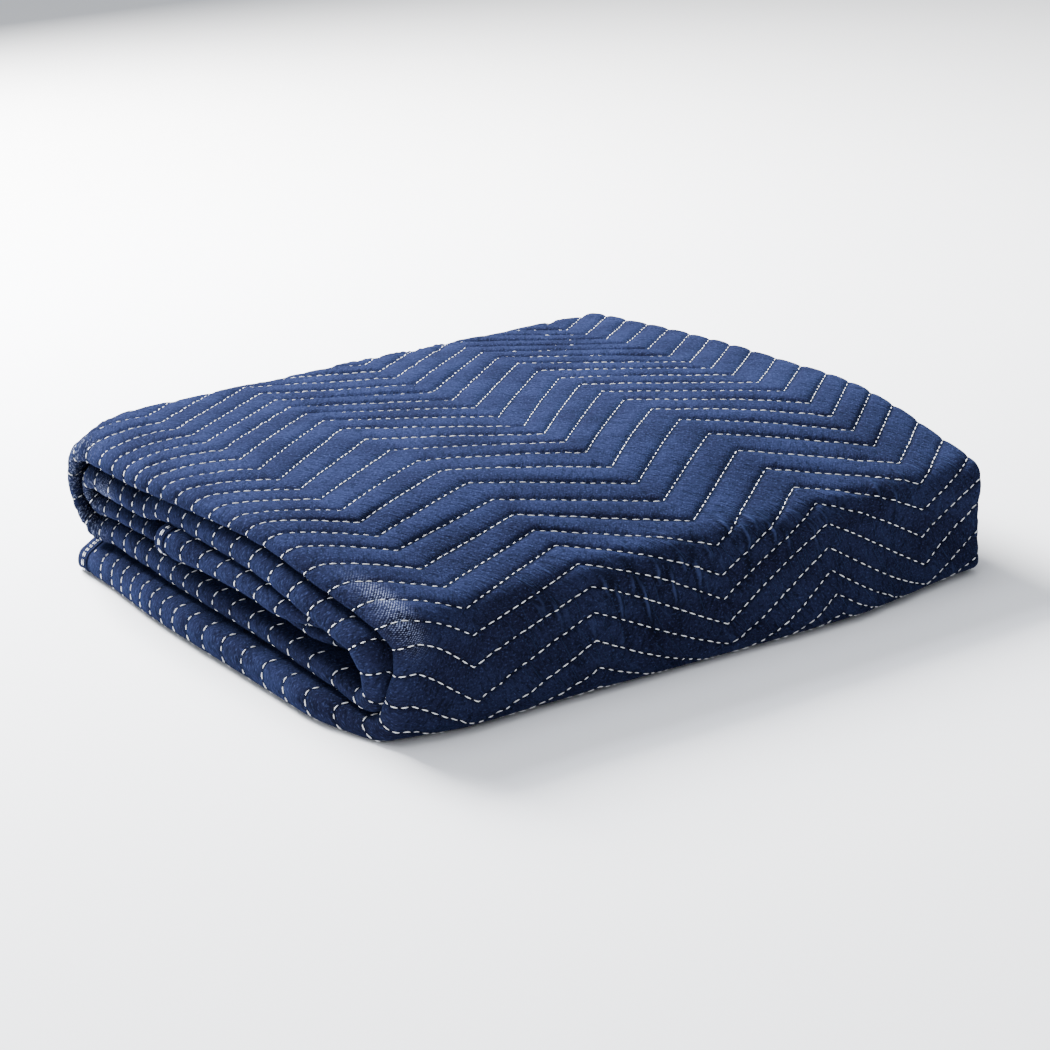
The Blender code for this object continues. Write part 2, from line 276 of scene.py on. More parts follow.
def at_near_edge(s, x, offset):
    """Draw the strip's near edge in and press its fold, as each pass of the real one has."""
    near = smooth(-x, *NEAR_EDGE_RANGE)
    thickness = read_off(FOLDS, s, rounded=True)
    fixed = math.copysign(STRIP_THICKNESS / 2, 1 - thickness)
    offset = fixed + (offset - fixed) * (1 + (thickness - 1) * near)
    return x + read_off(DRAWS, s, rounded=True) * near, offset


def place(s, x, offset):
    """The point at s along the winding, x across the strip and offset out from its middle."""
    cut = OUTER_END_CUT * smooth(-x, *NEAR_EDGE_RANGE) * (1 - smooth(s, *CUT_RANGE))
    x, offset = at_near_edge(s, x, offset)
    s_in = min(max(s, 0.0), LENGTH)
    for part in SEGMENTS:
        if s_in <= part.start + part.length:
            break
    along = s - part.start
    y, z, angle = part.y, part.z, part.heading
    if part.radius:
        angle -= along / part.radius
        y += part.radius * (math.sin(part.heading) - math.sin(angle))
        z += part.radius * (math.cos(angle) - math.cos(part.heading))
    else:
        y += along * math.cos(angle)
    y -= offset * math.sin(angle)
    z += offset * math.cos(angle)
    t = smooth(along, 0.0, part.length)
    shift = part.shifts[0] + (part.shifts[1] - part.shifts[0]) * t
    sag = part.sags[0] + (part.sags[1] - part.sags[0]) * t
    return settle(x + shift, y - cut, z + sag * smooth(y, SAG_START_Y, SAG_END_Y))


print("front foot at y", round(place(FRONT_BEND.start, 0.0, -STRIP_THICKNESS / 2)[1], 3))

# %% [markdown]
# The rows of stitching are zigzags that run across the whole sheet, 29 mm apart. Cloth is
# never fed quite evenly under the needles, so the rows wander, here by up to two thirds of
# their spacing at the four corners nearest to the camera. A row's number goes to its place
# directly. The way back, from a place to its row, is found in a few rounds of guessing,
# which works because the wander changes far less from row to row than their spacing.

# %% The rows of stitching
ROW_PITCH = 0.0292
ROW_ORIGIN = TOP_START + 0.173
ZIGZAG = (
    # u across the outer ply, how far the row is shifted along the sheet
    (-0.450, -0.015),
    (-0.340, 0.046),
    (-0.290, 0.040),
    (-0.225, 0.000),
    (-0.111, 0.052),
    (0.012, -0.023),
    (0.124, 0.058),
    (0.236, -0.022),
    (0.345, 0.058),
)
ZIGZAG_REACH = 0.082
WANDER_U = (-0.225, -0.111, 0.012, 0.124, 0.236)
WANDER = (
    # the row's number, and how far it has wandered at each of the places WANDER_U
    (-13, (0.006, 0.012, 0.012, 0.018, 0.000)),
    (-10, (0.006, 0.003, 0.010, -0.004, 0.000)),
    (-7, (0.008, -0.001, -0.009, -0.013, -0.001)),
    (-4, (0.006, -0.015, 0.006, -0.003, 0.005)),
    (-1, (-0.013, -0.010, 0.007, 0.010, -0.004)),
    (2, (-0.018, 0.009, -0.004, 0.010, 0.000)),
    (5, (-0.018, 0.014, 0.008, 0.020, -0.006)),
    (8, (-0.018, 0.014, 0.019, 0.017, -0.002)),
)
GUESSES = 5


def wander(row, u):
    """How far a row lies along the sheet from its even place, at u across it."""
    u = min(max(u, WANDER_U[0]), WANDER_U[-1])
    row = min(max(row, WANDER[0][0]), WANDER[-1][0])
    for before, after in zip(WANDER, WANDER[1:]):
        if row <= after[0]:
            break
    pair = [(number, read_off(tuple(zip(WANDER_U, far)), u)) for number, far in (before, after)]
    return read_off(pair, row)


def row_place(row, u):
    """Where a row, or a place between two, lies along the sheet at u across it."""
    return ROW_ORIGIN + row * ROW_PITCH + read_off(ZIGZAG, u) + wander(row, u)


def row_at(s, u):
    """The number of the row at a place, with the part of the way to the next one."""
    even = (s - read_off(ZIGZAG, u) - ROW_ORIGIN) / ROW_PITCH
    row = even
    for _ in range(GUESSES):
        row = even - wander(row, u) / ROW_PITCH
    return row


print("row 0 at its five corners:", [round(row_place(0, u) - ROW_ORIGIN, 3) for u in WANDER_U])

# %% [markdown]
# Each row pulls the two faces together, so the cloth stands up as a low puff between two
# rows, small puckers radiate from the thread, and where the sheet turns over the front the
# spare cloth on the outside gathers in tucks, which are placed one by one.
# One height function over the sheet, s along it and u across it, makes all of it as real
# geometry, because it shows on the outline. A size is that of the lumps of a noise.

# %% The relief of the quilting
QUILT_START = FRONT_BEND.start - ZIGZAG_REACH
QUILT_END = SECOND_START + ZIGZAG_REACH
GROOVE_DEPTH = 0.0015
PUFF_HEIGHT = 0.0007
PUFF_SQUARENESS = 3.4
FULLNESS, FULLNESS_SIZE = 0.4, 0.07
FLATTER_IN_FRONT = 0.35
TUG_REACH = 0.0060
TUG_HEIGHT = 0.0006
TUG_SIZE = 0.0085
TUCK_HEIGHT = 0.0009
TUCK_WIDTH = 0.16
TUCK_LEAN = 0.35
TUCK_SPACING = (0.016, 0.055)
PATCH_SIZE = (0.11, 0.05)
FRONT_TUCKS = (
    # u across the sheet, s from the start of the top, how far the tuck runs up and down
    # from there, how much it leans and how high it stands
    (-0.160, -0.034, 0.018, 0.20, 0.0014),
    (-0.146, -0.054, 0.022, 0.25, 0.0016),
    (-0.101, -0.040, 0.014, 0.15, 0.0018),
    (-0.089, -0.060, 0.020, 0.15, 0.0021),
    (-0.076, -0.046, 0.013, 0.10, 0.0017),
    (-0.064, -0.066, 0.022, 0.20, 0.0023),
    (-0.051, -0.042, 0.015, 0.10, 0.0020),
    (-0.038, -0.060, 0.020, 0.15, 0.0022),
    (-0.026, -0.038, 0.013, 0.10, 0.0018),
    (-0.013, -0.052, 0.018, 0.10, 0.0021),
    (0.000, -0.034, 0.014, 0.10, 0.0017),
    (0.028, -0.014, 0.015, 0.00, 0.0020),
    (0.040, -0.030, 0.020, -0.05, 0.0022),
    (0.053, -0.014, 0.013, 0.00, 0.0019),
    (0.066, -0.030, 0.017, 0.00, 0.0021),
    (0.079, -0.044, 0.015, 0.05, 0.0017),
    (0.108, -0.048, 0.020, 0.20, 0.0016),
    (0.122, -0.032, 0.018, 0.20, 0.0015),
    (0.188, -0.016, 0.016, -0.05, 0.0015),
    (0.204, -0.030, 0.018, -0.05, 0.0017),
    (0.221, -0.012, 0.014, -0.05, 0.0014),
)
TUCKS_STAND = 1.25
FRONT_TUCK_WIDTH = 0.0034
FRONT_TUCK_RANGE = (-0.13, 0.08)
WAVE_HEIGHT = 0.0014
WAVE_SIZE = (0.15, 0.12)
CRUMPLE_HEIGHT = 0.0017
CRUMPLE_SIZE, FINE_CRUMPLE_SIZE = (0.017, 0.0062), (0.008, 0.004)
PRESSED_PLY = 0.0024
BINDING_WIDTH = 0.019
PRESSED_LENGTH = BINDING_WIDTH + 0.002
RAMP_LENGTH = 0.010


def grain(*place_in_noise):
    """Smooth noise between about -1 and 1 at a point of up to three coordinates."""
    return noise.noise(Vector((*place_in_noise, 0.0, 0.0)[:3])) * 1.6


def on_grid(u, s, size, seed):
    return grain(u / size[0], s / size[1], seed)


def on_bend(part, s, reach=0.03):
    """1 on a bend of the winding, fading to 0 within reach on both sides."""
    return smooth(s, part.start - reach, part.start + reach) * (
        1 - smooth(s, part.start + part.length - reach, part.start + part.length + reach)
    )


def from_end(s):
    return min(s, LENGTH - s)


def half_ply(s):
    """Half the ply's thickness, pressed thin under the end bindings."""
    pressed = smooth(from_end(s), PRESSED_LENGTH, PRESSED_LENGTH + RAMP_LENGTH)
    return (PRESSED_PLY + (PLY - PRESSED_PLY) * pressed) / 2


def room(s, direction):
    """How much relief there is room for: all on open sides, little between two passes."""
    sideways, outward = direction
    open_side = smooth(s, FRONT_BEND.start + 0.01, FRONT_BEND.start + 0.04)
    open_side *= 1 - smooth(s, SECOND_START - 0.01, SECOND_START + 0.02)
    if outward < 0:
        open_side = 0.0
    share = max(open_side * (1 - 0.5 * abs(sideways)), 0.3 + 0.2 * abs(sideways))
    if s < TOP_START and outward > 0:
        share *= max(1 - outward, open_side)
    return share * smooth(from_end(s), PRESSED_LENGTH, PRESSED_LENGTH + 3 * RAMP_LENGTH)


def front_tucks(s, u):
    """The height of the tucks that gather over the front, each placed one by one."""
    if not FRONT_TUCK_RANGE[0] < s - TOP_START < FRONT_TUCK_RANGE[1]:
        return 0.0
    height = 0.0
    for tuck_u, tuck_s, reach, lean, stands in FRONT_TUCKS:
        up = s - TOP_START - tuck_s
        aside = (u - tuck_u + lean * up) / FRONT_TUCK_WIDTH
        height += TUCKS_STAND * stands * math.exp(-aside * aside - (up / reach) ** 2)
    return height


def relief(s, u, direction):
    """How far the cloth stands out of its smooth face at s along the sheet and u across."""
    row = row_at(s, u)
    channel = math.floor(row + 1e-4)
    through = row - channel
    to_seam = min(through, 1 - through) * ROW_PITCH
    puff = 1 - abs(2 * through - 1) ** PUFF_SQUARENESS
    fullness = 1 + FULLNESS * grain(u / FULLNESS_SIZE, channel * 1.7, 3.1)
    front = on_bend(FRONT_BEND, s, 0.05)
    height = puff * fullness * (GROOVE_DEPTH + PUFF_HEIGHT) - GROOVE_DEPTH
    height *= 1 - FLATTER_IN_FRONT * front
    tug = grain(u / TUG_SIZE, round(row) * 3.3, 8.0) * math.exp(-to_seam / TUG_REACH)
    height += TUG_HEIGHT * tug
    back = on_bend(BACK_BEND, s)
    inner_back = on_bend(INNER_BACK_BEND, s)
    leant = u + (s - TOP_START) * TUCK_LEAN
    fold = on_grid(leant, s, TUCK_SPACING, 21.0) / TUCK_WIDTH
    tuck = fold * math.exp(0.5 - 0.5 * fold * fold)
    patch = smooth(on_grid(u, s, PATCH_SIZE, 5.0), -0.25, 0.45)
    height += TUCK_HEIGHT * tuck * patch * (0.15 + 0.85 * max(front, back))
    height += front_tucks(s, u)
    height += WAVE_HEIGHT * on_grid(u, s, WAVE_SIZE, 14.0)
    crumple = on_grid(u, s, CRUMPLE_SIZE, 30.0) + 0.5 * on_grid(u, s, FINE_CRUMPLE_SIZE, 33.0)
    edge = 1 - smooth(u, -0.29, -0.21)
    height += CRUMPLE_HEIGHT * crumple * edge * max(back, inner_back)
    return height * room(s, direction)


print("rows on the whole sheet:", math.floor(LENGTH / ROW_PITCH))

# %% [markdown]
# Across the strip the cloth turns round a wide nose at the near edge and a tight fold at the
# far one. With u as a measure along the cloth, one function gives the section's point and
# the direction that the face looks in, and the next puts any point of the outer face, with
# its relief, in its place in the stack. The stitches are laid with it too, later on.

# %% Place the cloth's outer face
NOSE_START = NOSE_CENTRE_X - math.pi * PLY_PITCH
FOLD_END = FOLD_CENTRE_X + math.pi * FOLD_RADIUS


def section(u):
    """The outer side's x, offset and facing direction at u across the sheet."""
    if u < NOSE_START:
        return NOSE_CENTRE_X + NOSE_START - u, -PLY_PITCH, (0.0, -1.0)
    if u < NOSE_CENTRE_X:
        turn = (u - NOSE_START) / PLY_PITCH
        facing = (-math.sin(turn), -math.cos(turn))
        return NOSE_CENTRE_X + PLY_PITCH * facing[0], PLY_PITCH * facing[1], facing
    if u < FOLD_CENTRE_X:
        return u, PLY_PITCH, (0.0, 1.0)
    turn = (u - FOLD_CENTRE_X) / FOLD_RADIUS
    facing = (math.sin(turn), math.cos(turn))
    x = FOLD_CENTRE_X + FOLD_RADIUS * facing[0]
    return x, PLY_PITCH - FOLD_RADIUS + FOLD_RADIUS * facing[1], facing


def on_cloth(s, u, lift=0.0):
    """The point of the outer face at s along the sheet and u across it, lifted off it."""
    x, offset, facing = section(u)
    out = half_ply(s) + relief(s, u, facing) + lift
    return place(s, x + out * facing[0], offset + out * facing[1])


print("nose at", [round(v, 3) for v in on_cloth(TOP_START, (NOSE_START + NOSE_CENTRE_X) / 2)])

# %% [markdown]
# The sheet becomes one closed surface by going once round its section: the outer side of the
# three plies, the middle ply's free edge inside the nose, the inner side back, and the inner
# ply's free edge. Faces that nothing shows are laid with few lines along the strip and few
# points on each, while what the eye can see gets a point every 3 mm. Lines with unlike
# numbers of points are laced together like a shoe, and where the points match, as over the
# whole open face, the lacing gives clean quads that follow the zigzag.

# %% Choose the lines along the strip
STEPS_PER_ROW = 10
FACE_STEP = 0.0034
NOSE_STEP = 0.0027
FOLD_STEP = NOSE_STEP / 1.6
HIDDEN_STEP = 0.05
BEND_STEP = math.radians(15)
STATION_GAP = 0.003
RIBS = (-0.263, -0.244, CREASE_X, -0.1, 0.012, 0.124, 0.236)
NOSE_FACE_END = NOSE_CENTRE_X + 0.022
NOSE_UNDER = 0.012
QUARTERS = [i * math.pi / 4 for i in range(5)]


def spread(start, end, step):
    """Even values from start up to but not including end, no further apart than step."""
    count = max(math.ceil(abs(end - start) / step), 1)
    return [start + (end - start) * i / count for i in range(count)]


def hidden_stations():
    """Places along the winding that its bends, its sags and the thinned ends need."""
    stations = [PRESSED_LENGTH, PRESSED_LENGTH + RAMP_LENGTH]
    stations += [LENGTH - value for value in stations] + [0.0, LENGTH]
    for part in SEGMENTS:
        steps = math.ceil(part.length / HIDDEN_STEP)
        if part.radius:
            steps = round(math.pi / BEND_STEP)
        elif any(part.sags):
            stations += [part.start + abs(y - part.y) for y in (SAG_START_Y, SAG_END_Y)]
        first = 0 if part.start else 1
        stations += [part.start + part.length * i / steps for i in range(first, steps)]
    return sorted(stations)


HIDDEN_STATIONS = hidden_stations()


class Line:
    """One line of points along the winding: hidden, nose, rib or face."""

    def __init__(self, kind, x, offset, facing, u=None):
        self.kind, self.x, self.offset, self.facing, self.u = kind, x, offset, facing, u
        self.verts = []

    def stations(self):
        """Each point's place along the winding, and its row's even place."""
        if self.kind == "hidden":
            return [(s, s) for s in HIDDEN_STATIONS]
        first, last = ((s - ROW_ORIGIN) / ROW_PITCH for s in (QUILT_START, QUILT_END))
        if self.kind == "nose":
            start = PRESSED_LENGTH + RAMP_LENGTH
            first, last = (row_at(s, self.u) for s in (start, LENGTH - start))
        steps = range(math.ceil(first * STEPS_PER_ROW), math.floor(last * STEPS_PER_ROW) + 1)
        rows = [i / STEPS_PER_ROW for i in steps]
        fine = [(row_place(row, self.u), ROW_ORIGIN + row * ROW_PITCH) for row in rows]
        if self.kind == "face":
            return fine
        start, end = fine[0][0] - STATION_GAP, fine[-1][0] + STATION_GAP
        plain = [(s, ROW_ORIGIN + row_at(s, self.u) * ROW_PITCH) for s in HIDDEN_STATIONS]
        before = [station for station in plain if station[0] < start]
        return before + fine + [station for station in plain if station[0] > end]

    def make(self, mesh):
        on_outside = self.u is not None
        for s, even in self.stations():
            out = half_ply(s) + (relief(s, self.u, self.facing) if on_outside else 0.0)
            x, offset = self.x + out * self.facing[0], self.offset + out * self.facing[1]
            self.verts.append((s, even, mesh.verts.new(place(s, x, offset))))
            facts.append((self.u or self.x, s, on_outside))

    def keyed(self, following_rows, start=-1.0, end=1e9):
        """The points from start to end, sorted along the rows or else along the strip."""
        in_range = [point for point in self.verts if start <= point[1] <= end]
        return [(even if following_rows else s, vert) for s, even, vert in in_range]


def outer_lines(kind, across):
    """Lines of a kind on the outer side, at these u across the sheet."""
    return [Line(kind, *section(u), u) for u in across]


def hidden_lines(across, offset, facing):
    """Plain lines on a ply's hidden face, at each x across the strip."""
    return [Line("hidden", x, offset, facing) for x in across]


def inside_lines(start, radius, turns):
    """Lines on the inner side of the nose or the fold, at these turns round it."""
    round_it = [section(start + turn * radius) for turn in turns]
    return [Line("hidden", x, offset, (-a, -b)) for x, offset, (a, b) in round_it]


def edge_lines(x, offset, turns):
    """Lines round the free edge of a ply."""
    return [Line("hidden", x, offset, (math.cos(turn), math.sin(turn))) for turn in turns]


def sheet_lines():
    """The lines round the whole section of the folded sheet."""
    down, up = (0.0, -1.0), (0.0, 1.0)
    ribs = RIBS[::-1]
    inner_ply = [INNER_PLY_EDGE_X, *ribs]
    middle_ply = [FOLD_CENTRE_X, *ribs, MIDDLE_PLY_EDGE_X]
    nose = [NOSE_START - NOSE_UNDER, NOSE_START, NOSE_CENTRE_X, NOSE_FACE_END]
    across = [u for ends in zip(nose, nose[1:]) for u in spread(*ends, NOSE_STEP)]
    around = hidden_lines(inner_ply, -PLY_PITCH, down)
    around += outer_lines("nose", across + [NOSE_FACE_END])
    corners = [u for u, _ in ZIGZAG if NOSE_FACE_END < u < FOLD_CENTRE_X]
    stops = sorted({NOSE_FACE_END, FOLD_CENTRE_X, *RIBS, *corners})
    face = [u for ends in zip(stops, stops[1:]) for u in spread(*ends, FACE_STEP)]
    for u in face[1:]:
        around += outer_lines("rib" if u in RIBS else "face", [u])
    around += outer_lines("nose", spread(FOLD_CENTRE_X, FOLD_END, FOLD_STEP))
    around += hidden_lines(middle_ply, 0.0, down)
    around += edge_lines(MIDDLE_PLY_EDGE_X, 0.0, (-QUARTERS[3], QUARTERS[4], QUARTERS[3]))
    around += hidden_lines(middle_ply[::-1], 0.0, up)
    around += inside_lines(FOLD_CENTRE_X, FOLD_RADIUS, QUARTERS[3:0:-1])
    around += hidden_lines(middle_ply[:-1], PLY_PITCH, down)
    around += inside_lines(NOSE_START, PLY_PITCH, QUARTERS[::-1])
    around += hidden_lines(inner_ply[::-1], -PLY_PITCH, up)
    return around + edge_lines(INNER_PLY_EDGE_X, -PLY_PITCH, (QUARTERS[1], 0.0, -QUARTERS[1]))


facts = []
lines = sheet_lines()
print(len(lines), "lines round the section")

# %% Lace the lines into one closed sheet
MATCH = 1e-5


def lace(mesh, first, second):
    """Join two lines of points, each with its sorting value, by quads and triangles."""
    i = j = 0
    while i + 1 < len(first) or j + 1 < len(second):
        more_first, more_second = i + 1 < len(first), j + 1 < len(second)
        if more_first and more_second:
            apart = first[i + 1][0] - second[j + 1][0]
            level = first[i][0] - second[j][0]
            if abs(apart) < MATCH and abs(level) < MATCH:
                mesh.faces.new((first[i][1], first[i + 1][1], second[j + 1][1], second[j][1]))
                i, j = i + 1, j + 1
                continue
            more_first = first[i][0] + first[i + 1][0] < second[j][0] + second[j + 1][0]
        if more_first:
            mesh.faces.new((first[i][1], first[i + 1][1], second[j][1]))
            i += 1
        else:
            mesh.faces.new((first[i][1], second[j + 1][1], second[j][1]))
            j += 1


def close_hidden_face(mesh, across):
    """Lay the outer ply's face before and after its open stretch as plain cloth."""
    kept = [line for line in across if line.kind != "face"]
    for limits, border_end, next_end in (((-1.0, QUILT_START), 0, -1), ((QUILT_END, 1e9), -1, 0)):
        open_part = [line.keyed(False, QUILT_START, QUILT_END) for line in across]
        border = [(line.x, part[border_end][1]) for line, part in zip(across, open_part)]
        sides = [line.keyed(False, *limits) for line in kept]
        for side, following in zip(sides, sides[1:]):
            lace(mesh, side, following)
        lace(mesh, border, [(line.x, side[next_end][1]) for line, side in zip(kept, sides)])


def sheet_mesh():
    """The whole folded sheet as one closed surface."""
    mesh = bmesh.new()
    for line in lines:
        line.make(mesh)
    for line, following in zip(lines, lines[1:] + lines[:1]):
        stretch = (QUILT_START, QUILT_END) if "face" in (line.kind, following.kind) else ()
        by_rows = "hidden" not in (line.kind, following.kind)
        lace(mesh, line.keyed(by_rows, *stretch), following.keyed(by_rows, *stretch))
    faces = [i for i, line in enumerate(lines) if line.kind == "face"]
    close_hidden_face(mesh, lines[faces[0] - 1 : faces[-1] + 2])
    for end in (0, -1):
        cap = [line.verts[end][2] for line in lines if line.kind != "face"]
        bmesh.ops.triangulate(mesh, faces=[mesh.faces.new(cap)])
    return mesh


def triangle_count(data):
    return sum(len(face.vertices) - 2 for face in data.polygons)


def add_object(name, data, finish=None):
    """Link a new object for the mesh data, with its material."""
    if finish:
        data.materials.clear()
        data.materials.append(finish)
    made = bpy.data.objects.new(name, data)
    scene.collection.objects.link(made)
    return made


def mesh_data(name, mesh):
    """The finished bmesh as mesh data, shaded smooth."""
    bmesh.ops.recalc_face_normals(mesh, faces=mesh.faces)
    data = bpy.data.meshes.new(name)
    mesh.to_mesh(data)
    mesh.free()
    data.shade_smooth()
    return data


cloth_data = mesh_data("blanket_sheet", sheet_mesh())
cloth = add_object("blanket_sheet", cloth_data)
print("sheet:", len(cloth_data.vertices), "points,", triangle_count(cloth_data), "triangles")

# %% [markdown]
# The finishes need to know where on the cloth a point is, so each point carries notes:
# how far across the sheet and along it, how near a stitched row it is and between which two,
# which way the row slants there, how hard the cloth is stretched or crushed, and how full it
# stands on the front bend. The weave, the fine puckers, the wear and the painted shade,
# highlights and glints read them, and so stay on the cloth round every fold, which a pattern
# on the object's own coordinates would not.

# %% Note each point's place on the cloth
# Where the cloth is drawn tight it is less rough, and painted glints are put in its colour.
STRETCHED_AND_GLINTING = (
    # u across the sheet, s along it, how far the place reaches both ways, how tight it is
    (-0.285, TOP_START + 0.014, 0.008, 0.026, 1.0),
    (-0.291, TOP_START - 0.020, 0.008, 0.024, 0.9),
    (-0.308, INNER_BACK_BEND.start - 0.030, 0.010, 0.016, 0.7),
)
CRUSHED_BENDS = (BACK_BEND, INNER_BACK_BEND)
CRUSHED_EDGE = (-0.302, -0.278)
FULL_FROM = (-0.24, -0.16)
SEAM_REACH = 0.0032
CORNER_REACH = 0.005
NOTE_NAMES = ("across", "along", "seam", "channel", "slant", "stretch", "crush", "full")


def stretch_and_glint_at(u, s):
    """1 where the cloth is drawn tight and shiny, such as over the near front corner; its glints
    there are painted into its colour.
    """
    tight = 0.0
    for middle_u, middle_s, reach_u, reach_s, strength in STRETCHED_AND_GLINTING:
        du, ds = (u - middle_u) / reach_u, (s - middle_s) / reach_s
        tight = max(tight, strength * math.exp(-(du * du + ds * ds)))
    return tight


def slant_at(u):
    """1 where the rows rise across the sheet and 0 where they fall, smooth at the corners."""
    before, after = (read_off(ZIGZAG, u + step) for step in (-CORNER_REACH, CORNER_REACH))
    return smooth(after - before, -CORNER_REACH / 2, CORNER_REACH / 2)


def notes_at(u, s, is_outer):
    """The values of all the notes at one point."""
    row = row_at(s, u)
    outer = float(is_outer)
    seam = math.exp(-abs(row - round(row)) * ROW_PITCH / SEAM_REACH) * outer
    crush = (1 - smooth(u, *CRUSHED_EDGE)) * max(on_bend(p, s, 0.035) for p in CRUSHED_BENDS)
    full = on_bend(FRONT_BEND, s, 0.04) * smooth(u, *FULL_FROM)
    # How tight, crushed and full the cloth is: these make it less rough and give it bump, and give
    # it painted glints and painted highlights in its colour.
    tight_crushed_full = (stretch_and_glint_at(u, s) * outer, crush * outer, full * outer)
    return (u, s, seam, math.floor(row + 1e-4), slant_at(u), *tight_crushed_full)


def write_notes(data, rows):
    """Store the notes that each point has, or the first few of them, as attributes."""
    for name, column in zip(NOTE_NAMES, zip(*rows)):
        layer = data.attributes.new(name, "FLOAT", "POINT")
        layer.data.foreach_set("value", column)


write_notes(cloth_data, [notes_at(*fact) for fact in facts])
print("notes on", len(facts), "points")

# %% [markdown]
# Each end of the real blanket is finished with a strip of the same cloth, folded over the
# raw edge and sewn through twice. Here it is a long narrow channel swept along the folded
# section, with a round nose over the edge and slightly puckered faces, over the end that the
# sheet above was pressed thin for.

# %% Sew on the two end bindings
BINDING_THICKNESS = 0.0009
CLEARANCE = 0.0003
BINDING_STEP = 0.008
BINDING_PUCKER = 0.00025
PUCKER_SPACING = (0.011, 0.009)
HEM = 0.0003
ACROSS_TAPE = (BINDING_WIDTH - 2 * HEM, 0.0145, 0.011, 0.0075, 0.004, 0.0015)


def turn_path(x, offset, radius, heading, step):
    """The part of the binding's path that turns half round a centre."""
    turns = spread(0.0, math.pi, step)
    round_it = [(x + radius * math.sin(t), offset + radius * math.cos(t)) for t in turns]
    return [(*point, heading - turn) for point, turn in zip(round_it, turns)]


def binding_path():
    """The middle line across the strip, as x, offset and heading, with even steps."""
    inner = spread(INNER_PLY_EDGE_X, NOSE_CENTRE_X, BINDING_STEP)
    outer = spread(NOSE_CENTRE_X, FOLD_CENTRE_X, BINDING_STEP)
    middle = spread(FOLD_CENTRE_X, MIDDLE_PLY_EDGE_X, BINDING_STEP) + [MIDDLE_PLY_EDGE_X]
    path = [(x, -PLY_PITCH, math.pi) for x in inner]
    path += turn_path(NOSE_CENTRE_X, 0.0, -PLY_PITCH, math.pi, 0.3)
    path += [(x, PLY_PITCH, 0.0) for x in outer]
    path += turn_path(FOLD_CENTRE_X, PLY_PITCH - FOLD_RADIUS, FOLD_RADIUS, 0.0, 0.45)
    return path + [(x, 0.0, -math.pi) for x in middle]


def binding_section():
    """The channel's outline: distance in from the end, and out from the ply's middle."""
    inner = PRESSED_PLY / 2 + CLEARANCE
    outer = inner + BINDING_THICKNESS
    nose = BINDING_THICKNESS + CLEARANCE
    outline = [(BINDING_WIDTH, outer - HEM)] + [(along, outer) for along in ACROSS_TAPE]
    for turn in spread(0.0, math.pi, 0.45):
        outline.append((-nose * math.sin(turn), outer * math.cos(turn)))
    outline += [(along, -outer) for along in ACROSS_TAPE[::-1]]
    outline += [(BINDING_WIDTH, HEM - outer), (BINDING_WIDTH, -inner)]
    return outline + [(-CLEARANCE, -inner), (-CLEARANCE, inner), (BINDING_WIDTH, inner)]


def binding(name, at_start):
    """One end's binding as a closed channel, with its notes for the cloth's finish."""
    mesh = bmesh.new()
    rings = []
    places = []
    for step, (x, offset, heading) in enumerate(binding_path(), 1):
        ring = []
        run = step * BINDING_STEP
        for along, out in binding_section():
            s = along if at_start else LENGTH - along
            if abs(out) > PRESSED_PLY / 2 + CLEARANCE:
                pucker = BINDING_PUCKER * on_grid(run, along, PUCKER_SPACING, 50.0)
                out -= math.copysign(abs(pucker), out)
            spot = place(s, x - out * math.sin(heading), offset + out * math.cos(heading))
            ring.append(mesh.verts.new(spot))
            places.append((run, s))
        rings.append(ring)
    for ring, following in zip(rings, rings[1:]):
        for i, j in zip(range(len(ring)), [*range(1, len(ring)), 0]):
            mesh.faces.new((ring[i], ring[j], following[j], following[i]))
    for ring in (rings[0], rings[-1]):
        bmesh.ops.triangulate(mesh, faces=[mesh.faces.new(ring)])
    data = mesh_data(name, mesh)
    write_notes(data, places)
    return add_object(name, data)


outer_binding = binding("binding_outer", True)
inner_binding = binding("binding_inner", False)
print("bindings:", len(outer_binding.data.polygons), "faces each")

# %% [markdown]
# The stitches are white spun thread, mostly 5.6 mm long with 2.8 mm between them, sunk in the
# grooves. First come their paths: one for each row where it shows, which is right across on
# the open face and only over the nose and the fold on the passes inside, and two beside each
# bound end. The paths are laid with the same function as the cloth, so they follow it.

# %% Lay the paths of the stitched rows
THREAD_RADIUS = 0.00048
PATH_STEP = 0.0016
THREAD_LIFT = 0.00035
NOSE_PATH = (NOSE_START - 0.006, NOSE_CENTRE_X + 0.020)
FOLD_PATH = (FOLD_CENTRE_X - 0.012, FOLD_END - 0.002)
END_ROWS = (0.0092, 0.0125)
END_ROW_UNDER = 0.10
SEWN_START = PRESSED_LENGTH + 0.004
SHORTEST_PATH = 3


def row_paths(first_u, last_u, first_s, last_s):
    """Every row between two places across the sheet, kept to a stretch along it."""
    paths = []
    first = math.floor((SEWN_START - ROW_ORIGIN - ZIGZAG_REACH) / ROW_PITCH)
    last = math.ceil((LENGTH - ROW_ORIGIN + ZIGZAG_REACH) / ROW_PITCH)
    across = spread(first_u, last_u, PATH_STEP)
    for row in range(first, last + 1):
        paths.append([])
        for u in across:
            s = row_place(row, u)
            if first_s < s < last_s:
                paths[-1].append(on_cloth(s, u, THREAD_LIFT))
            elif paths[-1]:
                paths.append([])
    return [path for path in paths if len(path) > SHORTEST_PATH]


def end_paths():
    """Two rows beside each bound end, on the outer side of its binding."""
    lift = PRESSED_PLY / 2 + CLEARANCE + BINDING_THICKNESS + THREAD_LIFT
    across = [section(u) for u in spread(NOSE_START - END_ROW_UNDER, FOLD_END, PATH_STEP)]
    return [
        [place(s, x + lift * facing[0], offset + lift * facing[1]) for x, offset, facing in across]
        for along in END_ROWS
        for s in (along, LENGTH - along)
    ]


